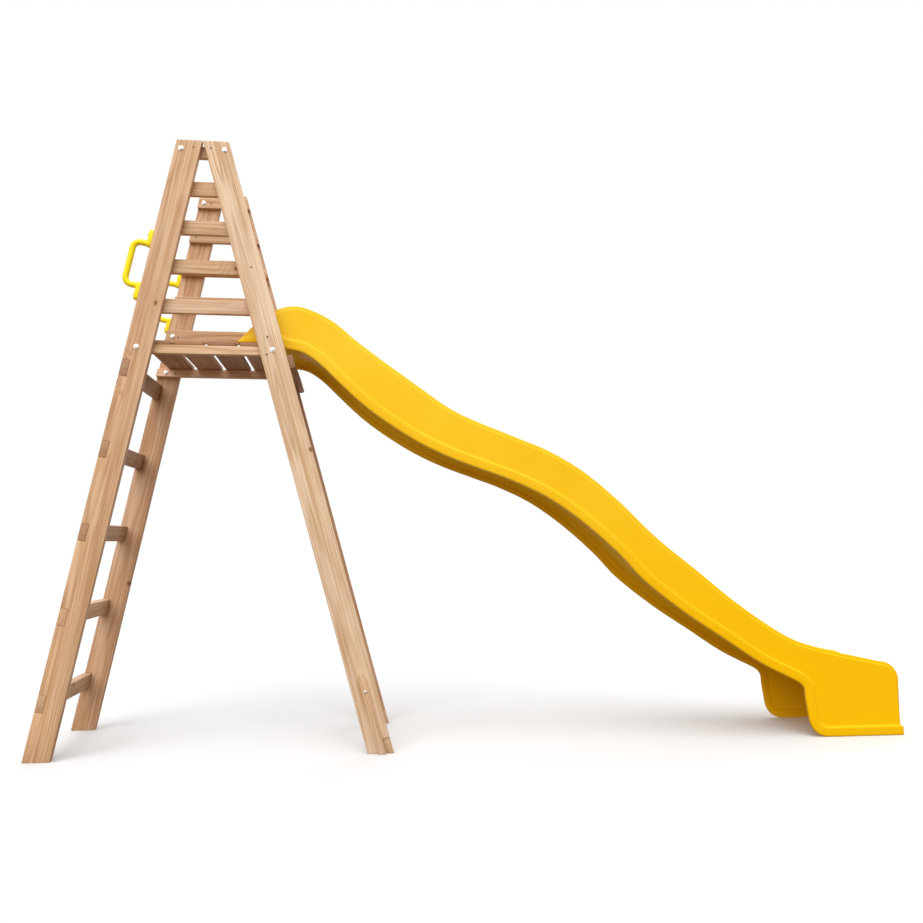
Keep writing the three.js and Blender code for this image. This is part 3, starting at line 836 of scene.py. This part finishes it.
def front_limit(z):
    """How far forward the outer surface reaches: the hem stands proud of the front panel."""
    if z < LIP_BOTTOM:
        return CHUTE_END_X
    if z > LIP_TOP:
        return FRONT_FACE_X
    return CHUTE_END_X - (CHUTE_END_X - FRONT_FACE_X) * (z - LIP_BOTTOM) / (LIP_TOP - LIP_BOTTOM)


def rounded_in(value, limit, radius, along_x, end_x):
    """A limit that curves in by a quarter circle before the end."""
    over = min(max(along_x - (end_x - radius), 0.0), radius)
    return min(value, limit - radius + math.sqrt(max(radius ** 2 - over ** 2, 0.0)))


BED_POINTS = 9                    # points of a section that lie on the bed and its fillet
OUTER_POINTS = 14                 # points from the foot of the rim band down to the hem's edge
UNDER_POINTS = 5                  # points under the bed, out to its corner with the skirt
BED_FILLET = 30
FRONT_RADIUS = 12                 # rounding of the foot's top front edge
CORNER_RADIUS = 9                 # rounding of its two front corners
FILLET_NEEDS = 60                 # a section lower than this draws the fillet in, and so on below
RIM_NEEDS = 26
BANDS_NEED = 78
SKIRT_NEEDS = 62
RIM_BAND = 17                     # the rim and its ledge, down from the top of the rim
HEM_BAND = 43                     # the hem and its ledge, up from the hem's edge
SKIRT_BAND = 44                   # the inside of the hem, up from its edge
RIM_LEDGE = (                     # each band is a list of (distance, half width)
    (8.0, RIM_OUTER), (9.8, RIM_OUTER), (10.9, RIM_OUTER + 0.5), (13.7, WALL_OUTER - 0.5),
    (14.8, WALL_OUTER), (RIM_BAND, WALL_OUTER),
)
HEM_EDGE = (
    (HEM_BAND, WALL_OUTER), (40.8, WALL_OUTER), (39.4, WALL_OUTER + 0.9), (34.6, HEM_OUTER - 0.9),
    (33.2, HEM_OUTER), (31, HEM_OUTER), (7, HEM_OUTER), (3.6, HEM_OUTER - 0.6),
    (1.1, HEM_OUTER - 2.4), (0, HEM_OUTER - 5),
)
SKIRT = (
    (0, 189), (1.4, 186.4), (5, 185.4), (29, 185), (32, 187.2), (34.5, 187.2), (37.5, 183),
    (SKIRT_BAND, 182.2),
)


def half_section(bed, rim, hem, up, rim_up, hem_up):
    """One side of a section, as (x, z, y), and the number of its points before the skirt.

    It runs from the middle of the bed over the rim, down the wall to the hem, and back under the bed.
    """
    inner_height = max((rim - bed).dot(up), 1.5)
    drop = max((bed - hem).dot(up), 4.0)
    bed_thickness = min(CHUTE_BED, 0.55 * drop)
    fillet = BED_FILLET * min(1.0, inner_height / FILLET_NEEDS)
    rim_scale = min(1.0, inner_height / RIM_NEEDS)
    outer_scale = min(1.0, (inner_height + drop) / BANDS_NEED)
    skirt_scale = min(1.0, max(drop - bed_thickness, 0.8) / SKIRT_NEEDS)
    inside_scale = min(skirt_scale, outer_scale)

    section = [(bed, 0), (bed, 60), (bed, 110), (bed, 145)]
    for angle in (15, 32, 50, 68, 84):
        a = math.radians(angle)
        section.append((bed + up * (fillet * (1 - math.cos(a))),
                        WALL_INNER - BED_FILLET + BED_FILLET * math.sin(a)))
    foot_of_wall = bed + up * fillet
    shoulder = rim - rim_up * (7 * rim_scale)
    for share in (0.25, 0.6):
        section.append((foot_of_wall.lerp(shoulder, share), WALL_INNER))
    crown = (RIM_OUTER - WALL_INNER) / 2
    for angle in (180, 155, 130, 105, 80, 55, 30, 5):
        a = math.radians(angle)
        inset = crown * (1 - math.sin(a)) * rim_scale
        section.append((rim - rim_up * inset, WALL_INNER + crown + crown * math.cos(a)))
    section += [(rim - rim_up * (inset * outer_scale), y) for inset, y in RIM_LEDGE]
    upper = rim - rim_up * (RIM_BAND * outer_scale)
    lower = hem + hem_up * (HEM_BAND * outer_scale)
    section += [(upper.lerp(lower, share), WALL_OUTER) for share in (0.25, 0.5, 0.75)]
    section += [(hem + hem_up * (rise * outer_scale), y) for rise, y in HEM_EDGE]
    turn = len(section)
    section += [(hem + hem_up * (rise * inside_scale), y) for rise, y in SKIRT]
    under = bed - up * bed_thickness
    corner = under - up * (10 * skirt_scale)
    high_skirt = hem + hem_up * (SKIRT_BAND * inside_scale)
    section += [(high_skirt.lerp(corner, 0.55), 182), (corner, 181.5),
                (under - up * (3 * skirt_scale), 178),
                (under, 170), (under, 120), (under, 60), (under, 0)]

    placed_section = []
    for index, (point, y) in enumerate(section):
        x, z = point.x, point.y
        if index < turn:
            limit = front_limit(z)
            x = min(x, limit)
            if index < BED_POINTS and x > FRONT_FACE_X - FRONT_RADIUS:
                z = rounded_in(z, FOOT_TOP, FRONT_RADIUS, x, FRONT_FACE_X)
            if x > limit - CORNER_RADIUS:
                widest = HEM_OUTER if z < LIP_SPLIT else WALL_OUTER
                y = rounded_in(y, widest, CORNER_RADIUS, x, limit)
        else:
            x = min(x, FRONT_FACE_X - CHUTE_WALL)
        placed_section.append((x, max(z, 0.0), y))
    return placed_section, turn


def wave_chute():
    """Both sides of every section, bridged from the deck to the front and closed at its two ends."""
    bm = bmesh.new()
    rows = []
    for entry in stations():
        section, turn = half_section(*entry)
        near = [bm.verts.new(tower_point(x, -y, z)) for x, z, y in section]
        far = [vertex if y == 0 else bm.verts.new(tower_point(x, y, z))
               for vertex, (x, z, y) in zip(near, section)]
        rows.append(near + list(reversed(far[1:-1])))
    bridge(bm, rows)
    count = len(section)
    wall_top, under_start = turn - OUTER_POINTS, count - UNDER_POINTS
    for row in (rows[0], rows[-1]):
        near, far = row[:count], [row[0], *reversed(row[count:]), row[count - 1]]
        bm.faces.new([*near[:wall_top + 1], *reversed(far[1:wall_top + 1])])
        for k in range(wall_top, under_start):
            bm.faces.new((near[k], near[k + 1], far[k + 1], far[k]))
        bm.faces.new([*near[under_start:], *reversed(far[under_start:-1])])
    bmesh.ops.remove_doubles(bm, verts=bm.verts[:], dist=4e-5)
    bmesh.ops.dissolve_degenerate(bm, dist=2e-5, edges=bm.edges[:])
    obj = mesh_object("moulded_chute", bm, chute_plastic, 40.0)
    finish_piece(obj, "chute_plastic", "wave_chute")


wave_chute()


# ---------------------------------------------------------------- camera, floor and light

def camera():
    data = bpy.data.cameras.new("camera")
    data.sensor_width = 36.0
    data.lens = 35.06
    cam = bpy.data.objects.new("camera", data)
    bpy.context.scene.collection.objects.link(cam)
    cam.location = (-0.4983, -3.5631, 0.7528)
    cam.rotation_euler = (math.pi / 2 + 0.08841, 0.0, -0.11435)
    bpy.context.scene.camera = cam


FLOOR_GLOW = 0.05                 # keeps the far floor as white as the backdrop


def floor():
    size = 30.0
    mesh = bpy.data.meshes.new("floor")
    corners = [(-size, -size, 0), (size, -size, 0), (size, size, 0), (-size, size, 0)]
    mesh.from_pydata(corners, [], [(0, 1, 2, 3)])
    s = Shader("floor", Roughness=0.9, Specular_IOR_Level=0.0, Emission_Strength=FLOOR_GLOW)
    s.set("Emission Color", (1.0, 1.0, 1.0, 1.0))
    s.set("Base Color", (0.685, 0.690, 0.700, 1.0))
    mesh.materials.append(s.material)
    plane = bpy.data.objects.new("floor", mesh)
    bpy.context.scene.collection.objects.link(plane)
    plane.visible_diffuse = False
    plane.visible_glossy = False


def soft_sun(name, toward, strength, width):
    """A far, wide studio light that shines along a direction."""
    data = bpy.data.lights.new(name, "SUN")
    data.energy = strength
    data.angle = math.radians(width)
    lamp = bpy.data.objects.new(name, data)
    bpy.context.scene.collection.objects.link(lamp)
    lamp.rotation_euler = Vector(toward).to_track_quat("-Z", "Y").to_euler()


def world():
    """A white backdrop. The light itself is bright overhead, dimmer at the horizon and warm below."""
    made = bpy.data.worlds.new("studio")
    made.use_nodes = True
    bpy.context.scene.world = made
    tree = made.node_tree
    background = tree.nodes["Background"]
    coordinates = tree.nodes.new("ShaderNodeTexCoord")
    parts = tree.nodes.new("ShaderNodeSeparateXYZ")
    blend = tree.nodes.new("ShaderNodeMapRange")
    blend.inputs["From Min"].default_value = -1.0
    ramp = tree.nodes.new("ShaderNodeValToRGB")
    stops = ((0.42, (0.33, 0.27, 0.22)), (0.49, (0.26, 0.26, 0.26)), (1.0, (1.1, 1.1, 1.1)))
    elements = (*ramp.color_ramp.elements, ramp.color_ramp.elements.new(0.5))
    for element, (place, colour) in zip(elements, stops):
        element.position = place
        element.color = (*colour, 1.0)
    tree.links.new(coordinates.outputs["Generated"], parts.inputs[0])
    tree.links.new(parts.outputs["Z"], blend.inputs["Value"])
    tree.links.new(blend.outputs["Result"], ramp.inputs["Fac"])
    light_path = tree.nodes.new("ShaderNodeLightPath")
    mix = tree.nodes.new("ShaderNodeMix")
    mix.data_type = "RGBA"
    mix.inputs[7].default_value = (1.0, 1.0, 1.0, 1.0)
    tree.links.new(light_path.outputs["Is Camera Ray"], mix.inputs["Factor"])
    tree.links.new(ramp.outputs["Color"], mix.inputs[6])
    tree.links.new(mix.outputs[2], background.inputs["Color"])


camera()
floor()
soft_sun("key", (0.25, 1.0, -0.75), 2.1, 60)
soft_sun("top", (0.15, 0.25, -1.0), 0.6, 25)
soft_sun("fill", (-0.3, -1.0, -0.35), 0.8, 80)
world()
bpy.context.scene.view_settings.view_transform = "Standard"
